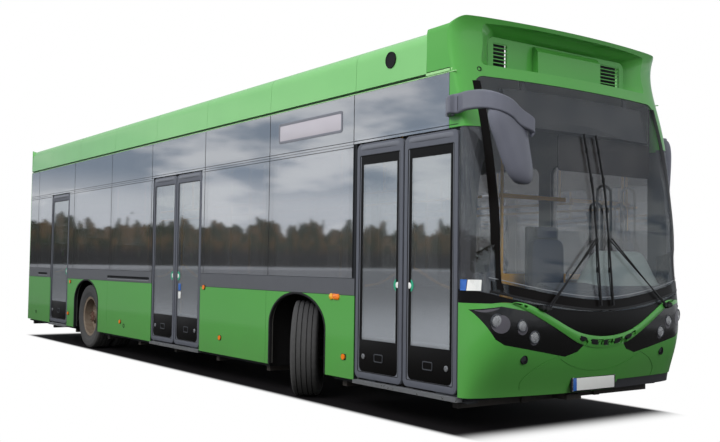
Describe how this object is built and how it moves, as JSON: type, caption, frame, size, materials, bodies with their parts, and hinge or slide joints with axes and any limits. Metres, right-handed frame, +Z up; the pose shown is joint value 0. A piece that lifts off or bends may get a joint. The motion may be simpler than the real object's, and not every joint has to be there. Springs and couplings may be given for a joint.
{
  "type": "city bus",
  "caption": "Low-floor single-deck city bus with glazed sides, roof fairings and a front air scoop, inward-gliding doors and steered front wheels.",
  "frame": {"origin": "on the road under the middle of the whole object, mirrors included", "axes": "+X to the front, +Y to the left side, +Z up"},
  "size_m": [12.23, 2.8799, 3.33],
  "materials": {
    "green_paint": "gloss leaf-green paint",
    "grey_trim": "satin dark grey paint",
    "black_trim": "gloss black panel",
    "chassis_black": "matt black chassis paint",
    "frame_grey": "satin grey primer",
    "floor_grey": "speckled grey floor covering",
    "lining": "light grey inner lining",
    "roof_white": "off-white roof paint",
    "unit_grey": "grey composite covers",
    "tinted_glass": "tinted bonded glazing",
    "clear_glass": "laminated glazing",
    "door_frame": "dark grey door frame with rubber edge",
    "lamp_cover": "dark lamp housing",
    "lamp_lens": "amber and red lenses",
    "dash_grey": "grain moulded dashboard",
    "soft_black": "black soft-touch plastic",
    "seat_cloth": "dark seat cloth",
    "yellow_rail": "yellow powder coat",
    "mirror_grey": "grey moulded housing",
    "wiper_black": "black wiper parts",
    "steel_rim": "weathered beige-grey steel wheel",
    "tyre_rubber": "black tyre",
    "bare_aluminium": "ribbed aluminium",
    "steel_arm": "steel post",
    "bellows_rubber": "black bellows"
  },
  "bodies": {
    "body": {"underframe": "chassis_black", "floor": "floor_grey", "wheel_housings": "lining", "wall_right": "lining", "wall_left": "lining", "skirts": "green_paint", "waist_rails": "grey_trim", "saloon_glass": "tinted_glass", "roof": "roof_white", "roof_fairings": "green_paint", "roof_scoop": "green_paint", "roof_units": "unit_grey", "front_glass": "clear_glass", "front_header": "green_paint", "front_frame": "frame_grey", "front_apron": "black_trim", "front_bumper": "green_paint", "headlamps": "lamp_cover", "wipers": "wiper_black", "mirrors": "mirror_grey", "rear_wall": "green_paint", "lamps": "lamp_lens", "front_axle": "chassis_black", "rear_axle": "chassis_black", "suspension": "bellows_rubber", "door_sills": "bare_aluminium", "dashboard": "dash_grey", "steering_wheel": "soft_black", "driver_seat": "seat_cloth", "seats": "seat_cloth", "grab_rails": "yellow_rail", "destination_signs": "soft_black", "power_unit": "unit_grey"},
    "rear_lid": {"rear_lid": "green_paint"},
    "knuckle_right": {"knuckle_right": "chassis_black"},
    "knuckle_left": {"knuckle_left": "chassis_black"},
    "tie_rod": {"tie_rod": "chassis_black"},
    "wheel_front_right": {"wheel_front_right": "steel_rim", "tyre_front_right": "tyre_rubber"},
    "wheel_front_left": {"wheel_front_left": "steel_rim", "tyre_front_left": "tyre_rubber"},
    "wheel_rear_right": {"wheel_rear_right": "steel_rim", "tyre_rear_right": "tyre_rubber"},
    "wheel_rear_left": {"wheel_rear_left": "steel_rim", "tyre_rear_left": "tyre_rubber"},
    "door_rear": {"door_rear": "door_frame", "door_rear_glass": "clear_glass"},
    "door_rear_arm": {"door_rear_arm": "steel_arm"},
    "door_middle_a": {"door_middle_a": "door_frame", "door_middle_a_glass": "clear_glass"},
    "door_middle_a_arm": {"door_middle_a_arm": "steel_arm"},
    "door_middle_b": {"door_middle_b": "door_frame", "door_middle_b_glass": "clear_glass"},
    "door_middle_b_arm": {"door_middle_b_arm": "steel_arm"},
    "door_front_a": {"door_front_a": "door_frame", "door_front_a_glass": "clear_glass"},
    "door_front_a_arm": {"door_front_a_arm": "steel_arm"},
    "door_front_b": {"door_front_b": "door_frame", "door_front_b_glass": "clear_glass"},
    "door_front_b_arm": {"door_front_b_arm": "steel_arm"}
  },
  "joints": [
    {"name": "steering_right", "type": "hinge", "parent": "body", "child": "knuckle_right", "pos_m": [3.105, -0.9, 0.479], "axis": [0, 0, 1], "range_deg": [-12, 88]},
    {"name": "steering_left", "type": "hinge", "parent": "body", "child": "knuckle_left", "pos_m": [3.105, 0.9, 0.479], "axis": [0, 0, 1], "range_deg": [-12, 88]},
    {"name": "tie_rod_end", "type": "hinge", "parent": "knuckle_left", "child": "tie_rod", "pos_m": [2.96316, 1.01082, 0.22], "axis": [0, 0, 1], "range_deg": [-88, 12]},
    {"name": "spin_front_right", "type": "hinge", "parent": "knuckle_right", "child": "wheel_front_right", "pos_m": [2.98802, -1.04972, 0.479], "axis": [0.6157, 0.788, 0], "continuous": true},
    {"name": "spin_rear_right", "type": "hinge", "parent": "body", "child": "wheel_rear_right", "pos_m": [-2.99, -1.09, 0.479], "axis": [0, 1, 0], "continuous": true},
    {"name": "spin_front_left", "type": "hinge", "parent": "knuckle_left", "child": "wheel_front_left", "pos_m": [3.22198, 1.04972, 0.479], "axis": [0.6157, 0.788, 0], "continuous": true},
    {"name": "spin_rear_left", "type": "hinge", "parent": "body", "child": "wheel_rear_left", "pos_m": [-2.99, 1.09, 0.479], "axis": [0, 1, 0], "continuous": true},
    {"name": "rear_lid_hinge", "type": "hinge", "parent": "body", "child": "rear_lid", "pos_m": [-6.107, 0, 1.318], "axis": [0, 1, 0], "range_deg": [0, 80]},
    {"name": "door_rear_post", "type": "hinge", "parent": "body", "child": "door_rear_arm", "pos_m": [-3.835, -1.172, 1.35], "axis": [0, 0, -1], "range_deg": [0, 90]},
    {"name": "door_rear_pivot", "type": "hinge", "parent": "door_rear_arm", "child": "door_rear", "pos_m": [-4.23, -1.238, 1.35], "axis": [0, 0, -1], "range_deg": [-180, 0]},
    {"name": "door_middle_a_post", "type": "hinge", "parent": "body", "child": "door_middle_a_arm", "pos_m": [-0.525, -1.172, 1.35], "axis": [0, 0, 1], "range_deg": [0, 90]},
    {"name": "door_middle_a_pivot", "type": "hinge", "parent": "door_middle_a_arm", "child": "door_middle_a", "pos_m": [-0.216, -1.238, 1.35], "axis": [0, 0, 1], "range_deg": [-180, 0]},
    {"name": "door_middle_b_post", "type": "hinge", "parent": "body", "child": "door_middle_b_arm", "pos_m": [0.969, -1.172, 1.35], "axis": [0, 0, -1], "range_deg": [0, 90]},
    {"name": "door_middle_b_pivot", "type": "hinge", "parent": "door_middle_b_arm", "child": "door_middle_b", "pos_m": [0.66, -1.238, 1.35], "axis": [0, 0, -1], "range_deg": [-180, 0]},
    {"name": "door_front_a_post", "type": "hinge", "parent": "body", "child": "door_front_a_arm", "pos_m": [4.078, -1.172, 1.35], "axis": [0, 0, 1], "range_deg": [0, 90]},
    {"name": "door_front_a_pivot", "type": "hinge", "parent": "door_front_a_arm", "child": "door_front_a", "pos_m": [4.37775, -1.238, 1.35], "axis": [0, 0, 1], "range_deg": [-180, 0]},
    {"name": "door_front_b_post", "type": "hinge", "parent": "body", "child": "door_front_b_arm", "pos_m": [5.535, -1.172, 1.35], "axis": [0, 0, -1], "range_deg": [0, 90]},
    {"name": "door_front_b_pivot", "type": "hinge", "parent": "door_front_b_arm", "child": "door_front_b", "pos_m": [5.23525, -1.238, 1.35], "axis": [0, 0, -1], "range_deg": [-180, 0]}
  ],
  "couplings": [
    {"joint": "steering_left", "follows": "steering_right", "ratio": 1},
    {"joint": "tie_rod_end", "follows": "steering_right", "ratio": -1},
    {"joint": "door_rear_pivot", "follows": "door_rear_post", "ratio": -2},
    {"joint": "door_middle_a_pivot", "follows": "door_middle_a_post", "ratio": -2},
    {"joint": "door_middle_b_pivot", "follows": "door_middle_b_post", "ratio": -2},
    {"joint": "door_front_a_pivot", "follows": "door_front_a_post", "ratio": -2},
    {"joint": "door_front_b_pivot", "follows": "door_front_b_post", "ratio": -2}
  ]
}
